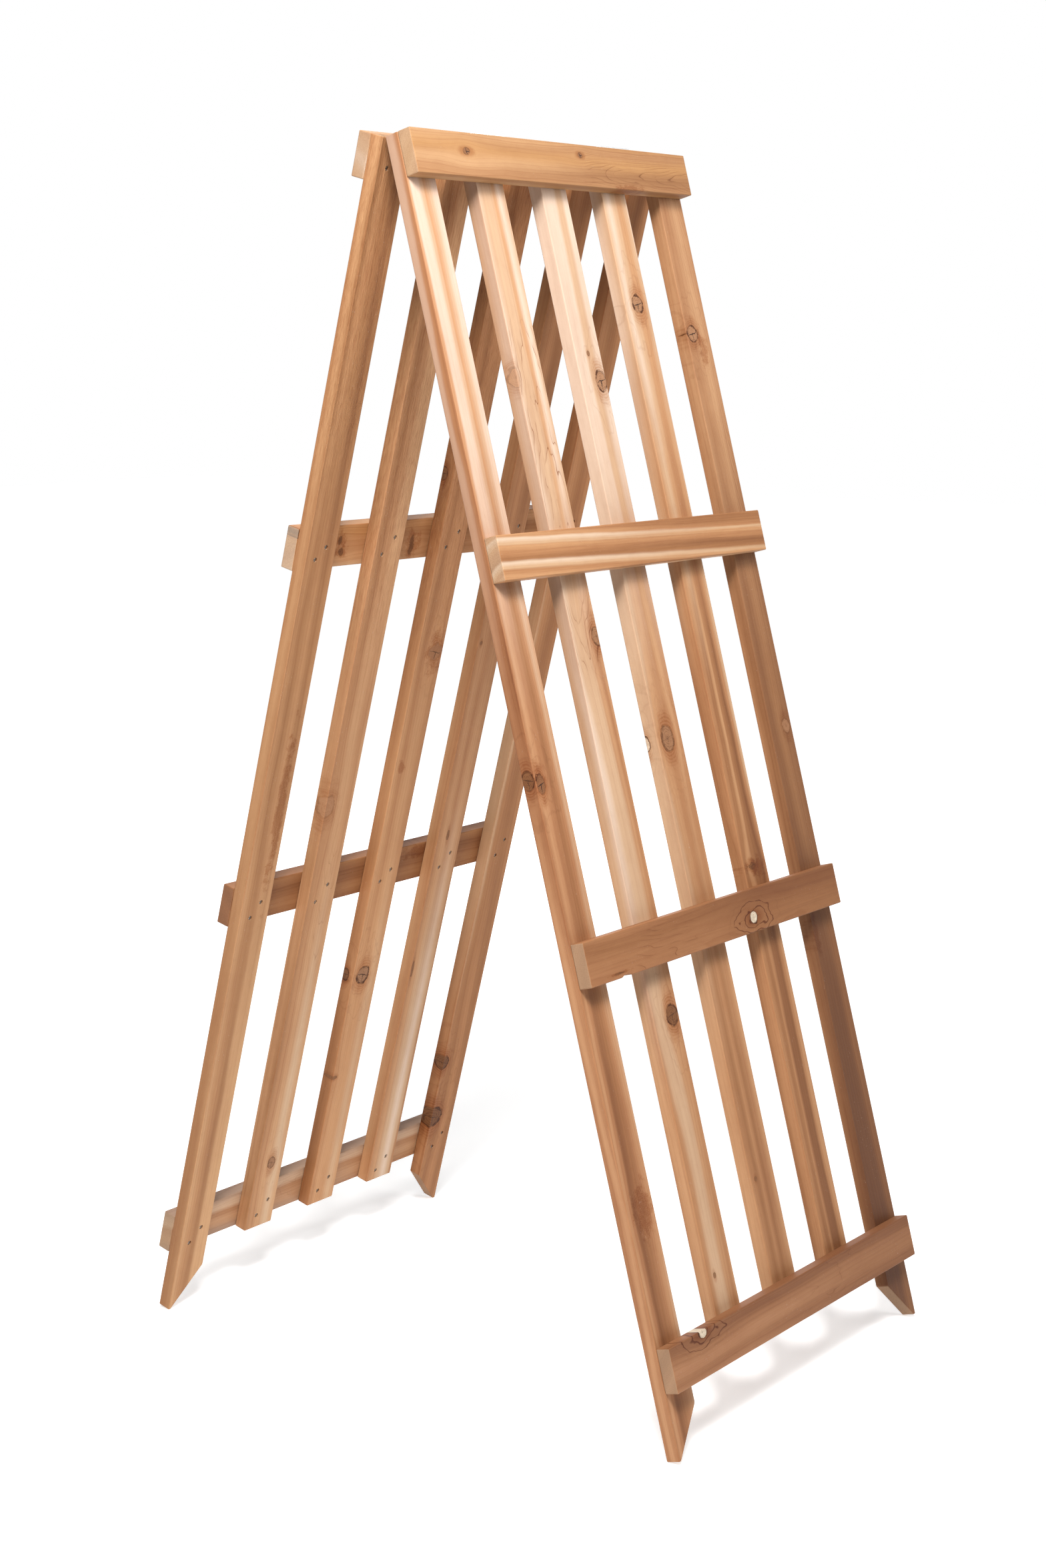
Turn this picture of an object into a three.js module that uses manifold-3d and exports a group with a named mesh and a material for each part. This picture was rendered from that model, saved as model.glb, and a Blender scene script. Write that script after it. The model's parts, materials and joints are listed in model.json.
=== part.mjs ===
// Folding slatted A-frame rack: two identical cedar panels joined by two butt hinges along the top.
// Millimetres, +Z up. The origin is on the ground, midway between the four feet.
// Each panel has five upright slats, with four rails screwed across their outer faces.
import * as THREE from 'three';
import { mergeVertices } from 'three/addons/utils/BufferGeometryUtils.js';
import Module from 'manifold-3d';

const wasm = await Module();
wasm.setup();

// Lumber: every board is the same stock.
const boardWidth = 38;
const boardThickness = 13;
const edgeChamfer = 0.8;

// Panel layout, measured down the panel from its top edge.
const panelWidth = 406;
const slatCount = 5;
const railPitch = 339;
const legLength = 1112;
const footCut = 38;
const footTip = 3;
const railNames = ['top_rail', 'upper_rail', 'lower_rail', 'bottom_rail'];

// Room between faces that meet, and the half angle between the two panels.
const faceGap = 0.3;
const foldClearance = 0.4;
const halfAngle = THREE.MathUtils.degToRad(14.8);

// Trim-head wood screws: two on each crossing, driven from the slat's inner face, with sunk heads.
// The eight corner crossings carry theirs as solids.
const roundSegments = 12;
const woodScrew = { headRadius: 1.9, headHeight: 1.2, shankRadius: 1.1, length: 21.5, sink: 1.2 };
const screwOffset = 6.5;
const cornerSlats = { left: 0, right: slatCount - 1 };
const cornerRails = { top: 0, bottom: railNames.length - 1 };
const screwSides = { upper: 1, lower: -1 };

// Butt hinges, lying on the top ends of the second and fourth slats.
const hingeLength = 50;
const hingeReach = 25;
const leafThickness = 1.2;
const barrelRadius = 2.5;
const boreRadius = 1.5;
const pinRadius = 1.2;
const pinHeadRadius = 2.2;
const pinHeadThickness = 0.8;
const knuckleGap = 0.4;
const leafCornerRadius = 2;
const hingeScrew = { headRadius: 3, headHeight: 1.7, shankRadius: 1.5, length: 15, sink: 0 };
const hingeScrewInset = 8;
const hingeSlats = { left: 1, right: 3 };

// Worked out from the values above.
const slatPitch = (panelWidth - boardWidth) / (slatCount - 1);
const railDepth = boardThickness + faceGap;
const hingeRise = barrelRadius + faceGap;
const leafTop = leafThickness - barrelRadius;
const knuckleLength = (hingeLength - 2 * knuckleGap) / 3;
const slatLength = railPitch * (railNames.length - 1) + boardWidth;
const pivotHeight = (legLength + hingeRise) * Math.cos(halfAngle) - foldClearance * Math.sin(halfAngle);
const boardMiddle = {
  slat: -(foldClearance + boardThickness / 2),
  rail: -(foldClearance + railDepth + boardThickness / 2),
};
const hingeScrewSpots = [
  { x: hingeScrewInset - hingeLength / 2, into: 'rail' },
  { x: 0, into: 'slat' },
  { x: hingeLength / 2 - hingeScrewInset, into: 'rail' },
];

const cedar = new THREE.MeshStandardMaterial({ color: 0xc98f5c, roughness: 0.7, metalness: 0 });
const cedarRail = new THREE.MeshStandardMaterial({ color: 0xb97c4b, roughness: 0.75, metalness: 0 });
const zinc = new THREE.MeshStandardMaterial({ color: 0xb9bcbf, roughness: 0.35, metalness: 1 });
const screwSteel = new THREE.MeshStandardMaterial({ color: 0x8f9194, roughness: 0.4, metalness: 1 });

const object = new THREE.Group();
object.name = 'clothes_drying_rack';

// --- solids ---------------------------------------------------------------------------------

function toSolid(geometry) {
  const bare = geometry.clone();
  bare.deleteAttribute('normal');
  bare.deleteAttribute('uv');
  const merged = mergeVertices(bare, 1e-5);
  const mesh = new wasm.Mesh({
    numProp: 3,
    vertProperties: new Float32Array(merged.attributes.position.array),
    triVerts: new Uint32Array(merged.index.array),
  });
  return new wasm.Manifold(mesh);
}

function toGeometry(solid) {
  const mesh = solid.getMesh();
  const geometry = new THREE.BufferGeometry();
  geometry.setAttribute('position', new THREE.BufferAttribute(mesh.vertProperties, 3));
  geometry.setIndex(new THREE.BufferAttribute(mesh.triVerts, 1));
  geometry.computeVertexNormals();
  return geometry;
}

function cut(geometry, tools) {
  const solid = tools.reduce((left, tool) => left.subtract(toSolid(tool)), toSolid(geometry));
  return toGeometry(solid);
}

// A flat board in the X-Z plane, with its inner face at y = 0 and its thickness towards -Y.
// The outline's points are [across, down].
function boardGeometry(outline) {
  const shape = new THREE.Shape(outline.map(([across, down]) => new THREE.Vector2(across, -down)));
  const geometry = new THREE.ExtrudeGeometry(shape, {
    depth: boardThickness - 2 * edgeChamfer,
    bevelEnabled: true,
    bevelThickness: edgeChamfer,
    bevelSize: edgeChamfer,
    bevelOffset: -edgeChamfer,
    bevelSegments: 1,
  });
  geometry.rotateX(Math.PI / 2);
  geometry.translate(0, -edgeChamfer, 0);
  return geometry;
}

// A turned piece along Y from profile points of [radius, y], from its lowest point up.
function turned(points) {
  const profile = points.map(([radius, y]) => new THREE.Vector2(radius, y));
  return new THREE.LatheGeometry(profile, roundSegments);
}

// A countersunk screw pointing to -Y, with the surface that it is driven into at y = 0.
function screwGeometry(screw) {
  const head = -screw.sink;
  const tipLength = 2 * screw.shankRadius;
  return turned([
    [0, head - screw.length],
    [screw.shankRadius, head - screw.length + tipLength],
    [screw.shankRadius, head - screw.headHeight],
    [screw.headRadius, head],
    [0, head],
  ]);
}

// The room that a screw takes out of the pieces that it passes through.
function screwHole(screw, x, y, z) {
  const above = 2;
  const head = -screw.sink;
  const tipLength = 2 * screw.shankRadius;
  const hole = turned([
    [0, head - screw.length - faceGap],
    [screw.shankRadius + faceGap, head - screw.length + tipLength - faceGap],
    [screw.shankRadius + faceGap, head - screw.headHeight - faceGap],
    [screw.headRadius + faceGap, head - faceGap],
    [screw.headRadius + faceGap, above],
    [0, above],
  ]);
  hole.translate(x, y, z);
  return hole;
}

// --- panel layout ---------------------------------------------------------------------------

// A panel's frame has its origin at the top left inner corner, as seen from outside.
const slatX = (slat) => slat * slatPitch;
const railZ = (rail) => -rail * railPitch;

// Where a crossing's upper or lower screw enters.
function screwSpot(slat, rail, side) {
  return {
    x: slatX(slat) + boardWidth / 2 - side * screwOffset,
    z: railZ(rail) - boardWidth / 2 + side * screwOffset,
  };
}

function crossingHoles(slats, rails) {
  const holes = [];
  for (const slat of slats) {
    for (const rail of rails) {
      for (const side of Object.values(screwSides)) {
        const spot = screwSpot(slat, rail, side);
        holes.push(screwHole(woodScrew, spot.x, 0, spot.z));
      }
    }
  }
  return holes;
}

// The holes that one hinge's screws make in the slats or in the rail under its leaf.
function hingeHoles(slat, into) {
  return hingeScrewSpots.filter((spot) => spot.into === into).map((spot) => {
    const hole = screwHole(hingeScrew, 0, 0, 0);
    hole.rotateX(Math.PI / 2);
    const x = slatX(slat) + boardWidth / 2 + spot.x;
    hole.translate(x, boardMiddle[into] + foldClearance, hingeRise + leafTop);
    return hole;
  });
}

function addMesh(group, name, geometry, material) {
  const mesh = new THREE.Mesh(geometry, material);
  mesh.name = name;
  group.add(mesh);
  return mesh;
}

// A board at a place in the panel's frame, cut by tools that are given in the same frame.
function addBoard(panel, name, outline, place, tools, material) {
  const geometry = boardGeometry(outline);
  const localTools = tools.map((tool) => tool.translate(-place.x, -place.y, -place.z));
  const mesh = addMesh(panel, name, cut(geometry, localTools), material);
  mesh.position.copy(place);
}

function addSlats(panel, prefix) {
  const plain = [[0, 0], [boardWidth, 0], [boardWidth, slatLength], [0, slatLength]];
  const leftLeg = [
    [0, 0],
    [boardWidth, 0],
    [boardWidth, legLength - footCut],
    [footTip, legLength],
    [0, legLength],
  ];
  const rightLeg = leftLeg.map(([across, down]) => [boardWidth - across, down]).reverse();
  for (let slat = 0; slat < slatCount; slat += 1) {
    let outline = plain;
    const tools = [];
    if (slat === cornerSlats.left || slat === cornerSlats.right) {
      outline = slat === cornerSlats.left ? leftLeg : rightLeg;
      tools.push(...crossingHoles([slat], Object.values(cornerRails)));
    }
    if (Object.values(hingeSlats).includes(slat)) {
      tools.push(...hingeHoles(slat, 'slat'));
    }
    const place = new THREE.Vector3(slatX(slat), 0, 0);
    addBoard(panel, `${prefix}_slat_${slat + 1}`, outline, place, tools, cedar);
  }
}

function addRails(panel, prefix) {
  const outline = [[0, 0], [panelWidth, 0], [panelWidth, boardWidth], [0, boardWidth]];
  railNames.forEach((railName, rail) => {
    const tools = [];
    if (Object.values(cornerRails).includes(rail)) {
      tools.push(...crossingHoles(Object.values(cornerSlats), [rail]));
    }
    if (rail === cornerRails.top) {
      tools.push(...Object.values(hingeSlats).flatMap((slat) => hingeHoles(slat, 'rail')));
    }
    const place = new THREE.Vector3(0, -railDepth, railZ(rail));
    addBoard(panel, `${prefix}_${railName}`, outline, place, tools, cedarRail);
  });
}

function addCornerScrews(panel, prefix) {
  for (const [railSide, rail] of Object.entries(cornerRails)) {
    for (const [slatSide, slat] of Object.entries(cornerSlats)) {
      for (const [sideName, side] of Object.entries(screwSides)) {
        const name = `${prefix}_${railSide}_${slatSide}_${sideName}_screw`;
        const mesh = addMesh(panel, name, screwGeometry(woodScrew), screwSteel);
        const spot = screwSpot(slat, rail, side);
        mesh.position.set(spot.x, 0, spot.z);
      }
    }
  }
}

// --- hinges ---------------------------------------------------------------------------------

// A tube or rod along X, from a profile of [radius, x].
function alongX(points) {
  const geometry = turned(points);
  geometry.rotateZ(-Math.PI / 2);
  return geometry;
}

function knuckle(centreX) {
  const half = knuckleLength / 2;
  const tube = alongX([
    [0, -half],
    [barrelRadius, -half],
    [barrelRadius, half],
    [0, half],
  ]);
  tube.translate(centreX, 0, 0);
  return tube;
}

// A leaf with its plate towards -Y, around a barrel along X through the origin.
function leafGeometry(knuckleCentres) {
  const half = hingeLength / 2;
  const plateShape = new THREE.Shape();
  plateShape.moveTo(-half, 0);
  plateShape.lineTo(half, 0);
  plateShape.lineTo(half, -hingeReach + leafCornerRadius);
  plateShape.lineTo(half - leafCornerRadius, -hingeReach);
  plateShape.lineTo(-half + leafCornerRadius, -hingeReach);
  plateShape.lineTo(-half, -hingeReach + leafCornerRadius);
  const plate = new THREE.ExtrudeGeometry(plateShape, { depth: leafThickness, bevelEnabled: false });
  plate.translate(0, 0, -barrelRadius);

  const notchDepth = 2 * (barrelRadius + knuckleGap);
  const notches = [-1, 0, 1]
    .map((place) => place * (knuckleLength + knuckleGap))
    .filter((centreX) => !knuckleCentres.includes(centreX))
    .map((centreX) => {
      const notch = new THREE.BoxGeometry(knuckleLength + 2 * knuckleGap, notchDepth, notchDepth);
      notch.translate(centreX, 0, 0);
      return notch;
    });
  const holes = hingeScrewSpots.map((spot) => {
    const hole = screwHole(hingeScrew, 0, 0, 0);
    hole.rotateX(Math.PI / 2);
    hole.translate(spot.x, boardMiddle[spot.into], leafTop);
    return hole;
  });
  const bore = alongX([
    [0, -hingeLength],
    [boreRadius, -hingeLength],
    [boreRadius, hingeLength],
    [0, hingeLength],
  ]);
  const notched = notches.reduce((left, notch) => left.subtract(toSolid(notch)), toSolid(plate));
  const joined = knuckleCentres.reduce((left, centreX) => left.add(toSolid(knuckle(centreX))), notched);
  return cut(toGeometry(joined), [bore, ...holes]);
}

function pinGeometry() {
  const half = hingeLength / 2 + faceGap;
  return alongX([
    [0, -half - pinHeadThickness],
    [pinHeadRadius, -half - pinHeadThickness],
    [pinHeadRadius, -half],
    [pinRadius, -half],
    [pinRadius, half],
    [pinHeadRadius, half],
    [pinHeadRadius, half + pinHeadThickness],
    [0, half + pinHeadThickness],
  ]);
}

function addLeafWithScrews(side, name, centreX, knuckleCentres) {
  const leaf = addMesh(side, `${name}_leaf`, leafGeometry(knuckleCentres), zinc);
  leaf.position.x = centreX;
  hingeScrewSpots.forEach((spot, index) => {
    const screw = addMesh(side, `${name}_screw_${index + 1}`, screwGeometry(hingeScrew), screwSteel);
    screw.rotation.x = Math.PI / 2;
    screw.position.set(centreX + spot.x, boardMiddle[spot.into], leafTop);
  });
}

function hingeX(slat) {
  return slatX(slat) + boardWidth / 2 - panelWidth / 2;
}

// --- assembly -------------------------------------------------------------------------------

// One side of the frame, in a group that turns about the hinge line. Its panel hangs towards -Y.
function addSide(parent, prefix) {
  const side = new THREE.Group();
  side.rotation.x = -halfAngle;
  parent.add(side);
  const panel = new THREE.Group();
  panel.position.set(-panelWidth / 2, -foldClearance, -hingeRise);
  side.add(panel);
  addSlats(panel, prefix);
  addRails(panel, prefix);
  addCornerScrews(panel, prefix);
  return side;
}

const pivot = new THREE.Group();
pivot.position.z = pivotHeight;
object.add(pivot);

const backTurn = new THREE.Group();
backTurn.rotation.z = Math.PI;
pivot.add(backTurn);

const frontSide = addSide(pivot, 'front');
const backSide = addSide(backTurn, 'back');
const outerKnuckles = [-(knuckleLength + knuckleGap), knuckleLength + knuckleGap];

for (const [hingeSide, slat] of Object.entries(hingeSlats)) {
  const centreX = hingeX(slat);
  addLeafWithScrews(frontSide, `${hingeSide}_hinge_front`, centreX, outerKnuckles);
  addLeafWithScrews(backSide, `${hingeSide}_hinge_back`, -centreX, [0]);
  const pin = addMesh(pivot, `${hingeSide}_hinge_pin`, pinGeometry(), zinc);
  pin.position.x = centreX;
}

export default object;
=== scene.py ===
"""Looks for a folding drying rack of red-cedar lath: two hinged panels of slats and rails.

Lengths are in millimetres until a piece is put in its place, and then in metres.
"""
import json
import math
import random

import bmesh
import bpy
from mathutils import Euler, Matrix, Vector


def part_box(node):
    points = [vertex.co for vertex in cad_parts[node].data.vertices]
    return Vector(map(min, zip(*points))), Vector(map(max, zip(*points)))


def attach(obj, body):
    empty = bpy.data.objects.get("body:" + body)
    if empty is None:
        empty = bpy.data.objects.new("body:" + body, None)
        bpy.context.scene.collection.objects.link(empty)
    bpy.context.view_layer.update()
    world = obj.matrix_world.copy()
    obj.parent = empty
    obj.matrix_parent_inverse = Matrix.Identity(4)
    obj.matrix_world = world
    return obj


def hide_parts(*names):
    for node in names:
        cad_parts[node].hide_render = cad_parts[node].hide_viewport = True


MM = 0.001

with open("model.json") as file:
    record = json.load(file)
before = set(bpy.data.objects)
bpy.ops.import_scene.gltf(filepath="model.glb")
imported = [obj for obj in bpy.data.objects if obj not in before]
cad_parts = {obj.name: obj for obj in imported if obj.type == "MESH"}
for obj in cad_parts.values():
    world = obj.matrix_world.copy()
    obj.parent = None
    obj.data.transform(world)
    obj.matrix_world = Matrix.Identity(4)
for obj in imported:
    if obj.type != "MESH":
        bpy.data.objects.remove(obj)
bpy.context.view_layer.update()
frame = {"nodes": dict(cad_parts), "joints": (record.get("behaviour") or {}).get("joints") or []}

# --- sizes, as in the solids ---

BOARD_WIDTH = 38.0
BOARD_DEPTH = 13.0
HALF_WIDTH = BOARD_WIDTH / 2
HALF_DEPTH = BOARD_DEPTH / 2
PANEL_WIDTH = 406.0
SLAT_COUNT = 5
SLAT_PITCH = (PANEL_WIDTH - BOARD_WIDTH) / (SLAT_COUNT - 1)
RAIL_PITCH = 339.0
RAIL_NAMES = ("top_rail", "upper_rail", "lower_rail", "bottom_rail")
SLAT_LENGTH = RAIL_PITCH * (len(RAIL_NAMES) - 1) + BOARD_WIDTH
LEG_LENGTH = 1112.0
FOOT_CUT = 38.0
FOOT_TIP = 3.0
FACE_GAP = 0.3
FOLD_CLEARANCE = 0.4
HINGE_RISE = 2.8
LEAF_TOP = 1.3
HINGE_SLATS = {"left": 2, "right": 4}
HINGE_SCREW_SPOTS = (-17.0, 0.0, 17.0)
SCREW_OFFSET = 6.5
LONG_EDGE = 0.95
END_EDGE = 0.95

WOOD_SCREW = {"head": 1.9, "head_height": 1.2, "shank": 1.1, "length": 21.5, "sink": 1.2}
HINGE_SCREW = {"head": 3.0, "head_height": 1.7, "shank": 1.5, "length": 15.0, "sink": 0.0}

hinge = frame["joints"][0]
pivot = Vector(hinge["pos_m"])
half_angle = math.radians(-hinge["range_deg"][0] / 2)
MID_RAIL = BOARD_DEPTH + FACE_GAP + HALF_DEPTH


def panel_axes(side):
    """The directions across (from the left as seen from outside), down and outward."""
    turn = 1 if side == "front" else -1
    across = Vector((turn, 0, 0))
    down = Vector((0, -turn * math.sin(half_angle), -math.cos(half_angle)))
    outward = Vector((0, -turn * math.cos(half_angle), math.sin(half_angle)))
    return across, down, outward


def panel_point(side, a, d, n):
    """Where a panel's point lies: a across, d down and n outward from its top left inner corner."""
    across, down, outward = panel_axes(side)
    offset = across * (a - PANEL_WIDTH / 2) + down * (d + HINGE_RISE) + outward * (n + FOLD_CLEARANCE)
    return pivot + offset * MM


def placed(x_axis, y_axis, z_axis, origin):
    rows = Matrix((x_axis, y_axis, z_axis)).transposed().to_4x4()
    return Matrix.Translation(origin) @ rows


def slat_matrix(side, number):
    """A slat's own frame: X down from its top end, Y across and Z outward."""
    across, down, outward = panel_axes(side)
    middle = (number - 1) * SLAT_PITCH + HALF_WIDTH
    return placed(down, across, outward, panel_point(side, middle, 0, HALF_DEPTH))


def rail_matrix(side, rail):
    """A rail's own frame: X across from its left end, Y up and Z outward."""
    across, down, outward = panel_axes(side)
    middle = rail * RAIL_PITCH + HALF_WIDTH
    return placed(across, -down, outward, panel_point(side, 0, middle, MID_RAIL))


# --- node helpers ---


class Tree:
    """Short calls for wiring a shader or group tree."""

    def __init__(self, tree):
        self.tree = tree

    def node(self, kind, **settings):
        made = self.tree.nodes.new("ShaderNode" + kind)
        for name, value in settings.items():
            setattr(made, name, value)
        return made

    def feed(self, socket, value):
        if isinstance(value, bpy.types.NodeSocket):
            self.tree.links.new(value, socket)
        elif value is not None:
            socket.default_value = value

    def call(self, kind, *values, **settings):
        """A node's outputs, with values or sockets fed to its inputs in order."""
        made = self.node(kind, **settings)
        for socket, value in zip(made.inputs, values):
            self.feed(socket, value)
        return made.outputs

    def math(self, operation, *values, clamp=False):
        return self.call("Math", *values, operation=operation, use_clamp=clamp)[0]

    def chain(self, operation, values, clamp):
        total = values[0]
        for value in values[1:]:
            total = self.math(operation, total, value, clamp=clamp)
        return total

    def times(self, *values, clamp=False):
        return self.chain("MULTIPLY", values, clamp)

    def plus(self, *values, clamp=False):
        return self.chain("ADD", values, clamp)

    def minus(self, a, b):
        return self.math("SUBTRACT", a, b)

    def over(self, a, b):
        return self.math("DIVIDE", a, b)

    def size(self, value):
        return self.math("ABSOLUTE", value)

    def vector(self, operation, *values, out=0):
        return self.call("VectorMath", *values, operation=operation)[out]

    def scaled(self, vector, factor):
        return self.vector("SCALE", vector, None, None, factor)

    def split(self, vector):
        return self.call("SeparateXYZ", vector)

    def joined(self, x, y, z):
        return self.call("CombineXYZ", x, y, z)[0]

    def noise(self, vector, lengths, detail=2.0, roughness=0.5, distortion=0.0):
        """Noise whose lumps are about as long as lengths along each axis."""
        stretch = self.vector("DIVIDE", vector, lengths)
        made = self.node("TexNoise")
        self.feed(made.inputs["Vector"], stretch)
        made.inputs["Scale"].default_value = 1.0
        made.inputs["Detail"].default_value = detail
        made.inputs["Roughness"].default_value = roughness
        made.inputs["Distortion"].default_value = distortion
        return made.outputs["Fac"]

    def sway(self, vector, lengths, amount, **settings):
        """Noise that runs evenly to both sides of zero, by about amount."""
        noise = self.noise(vector, lengths, **settings)
        return self.times(self.minus(noise, 0.5), amount * 2.5)

    def ramp(self, value, low, high, low_to=0.0, high_to=1.0):
        limits = (low, high, low_to, high_to)
        return self.call("MapRange", value, *limits, interpolation_type="SMOOTHSTEP", clamp=True)[0]

    def mix(self, factor, a, b, blend="MIX"):
        made = self.node("Mix", data_type="RGBA", blend_type=blend)
        self.feed(made.inputs["Factor"], factor)
        self.feed(made.inputs[6], a)
        self.feed(made.inputs[7], b)
        return made.outputs[2]

    def group(self, group, **values):
        made = self.node("Group")
        made.node_tree = group
        for name, value in values.items():
            self.feed(made.inputs[name], value)
        return made.outputs


def new_group(name, inputs, outputs):
    """A node group. Its sockets are words: numbers, or with :v a vector and with :c a colour."""
    kinds = {"v": "NodeSocketVector", "": "NodeSocketFloat", "c": "NodeSocketColor"}
    tree = bpy.data.node_groups.new(name, "ShaderNodeTree")
    for way, sockets in (("INPUT", inputs), ("OUTPUT", outputs)):
        for word in sockets.split():
            label, _, kind = word.partition(":")
            tree.interface.new_socket(name=label, in_out=way, socket_type=kinds[kind])
    entry = tree.nodes.new("NodeGroupInput").outputs
    leave = tree.nodes.new("NodeGroupOutput").inputs
    return Tree(tree), entry, leave


def rgb(red, green, blue):
    return (red, green, blue, 1.0)


# --- cedar ---

TONES = {
    "cream": (0.580, 0.430, 0.318),
    "light": (0.493, 0.312, 0.184),
    "honey": (0.447, 0.237, 0.114),
    "golden": (0.396, 0.191, 0.075),
    "tan": (0.366, 0.174, 0.077),
    "medium": (0.281, 0.125, 0.051),
    "brown": (0.206, 0.084, 0.033),
    "dark": (0.136, 0.053, 0.022),
    "grey": (0.328, 0.202, 0.127),
}
BAND_SPAN = 48.0

KNOT_LOOKS = ("Fill", "Middle", "Rim", "Halo", "Crack", "Lines")
KNOT_KINDS = {
    # how much of the middle is painted, how brown it is (below 0, how bleached), and how
    # strong its rim, the rings round it, its cracks and the thin outlines further out are
    "ringed": (0.90, 0.60, 0.72, 0.95, 0.25, 0.10),
    "cracked": (0.95, 0.50, 1.00, 0.90, 1.00, 0.15),
    "dark": (0.97, 0.95, 1.00, 1.00, 0.60, 0.15),
    "faint": (0.50, 0.25, 0.30, 0.60, 0.00, 0.00),
    "rough": (0.80, 0.85, 0.62, 1.00, 1.00, 0.00),
    "pin": (0.80, 0.85, 0.60, 0.60, 0.00, 0.00),
    "pale": (0.95, -1.00, 1.00, 1.00, 0.10, 1.00),
    "worn_and_edge_shade": (0.55, 0.50, 0.22, 1.00, 0.70, 0.10),
    "light": (0.95, -0.60, 1.00, 0.80, 0.10, 0.10),
    "smudge": (0.00, 0.60, 0.00, 0.95, 0.00, 0.00),
    "stain": (0.80, 1.00, 0.00, 1.00, 0.30, 0.00),
}
KNOT_SOCKETS = " Place:v Centre:v Sideways:v Axis:v Along Across Depth "


def knot_position(tree, entry):
    """A point's distances from a knot's middle: along the board, and across and along its axis."""
    apart = tree.vector("SUBTRACT", entry["Place"], entry["Centre"])
    along = tree.split(apart)[0]
    across = tree.vector("DOT_PRODUCT", apart, entry["Sideways"], out=1)
    deep = tree.vector("DOT_PRODUCT", apart, entry["Axis"], out=1)
    return along, across, deep


def make_flow_group():
    """Bends the grain so that it runs round a knot."""
    tree, entry, leave = new_group("cedar_flow", "Grain:v Reach" + KNOT_SOCKETS, "Grain:v")
    along, across, deep = knot_position(tree, entry)
    reach = tree.times(entry["Across"], entry["Reach"])
    deep = tree.over(tree.times(deep, reach), entry["Depth"])
    apart = tree.joined(tree.times(along, 0.42), across, deep)
    distance = tree.math("POWER", tree.vector("LENGTH", apart, out=1), 2.0)
    squared = tree.math("POWER", reach, 2.0)
    share = tree.over(squared, tree.plus(distance, squared))
    push = tree.scaled(entry["Sideways"], tree.times(across, share))
    tree.feed(leave["Grain"], tree.vector("SUBTRACT", entry["Grain"], push))
    return tree.tree


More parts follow.
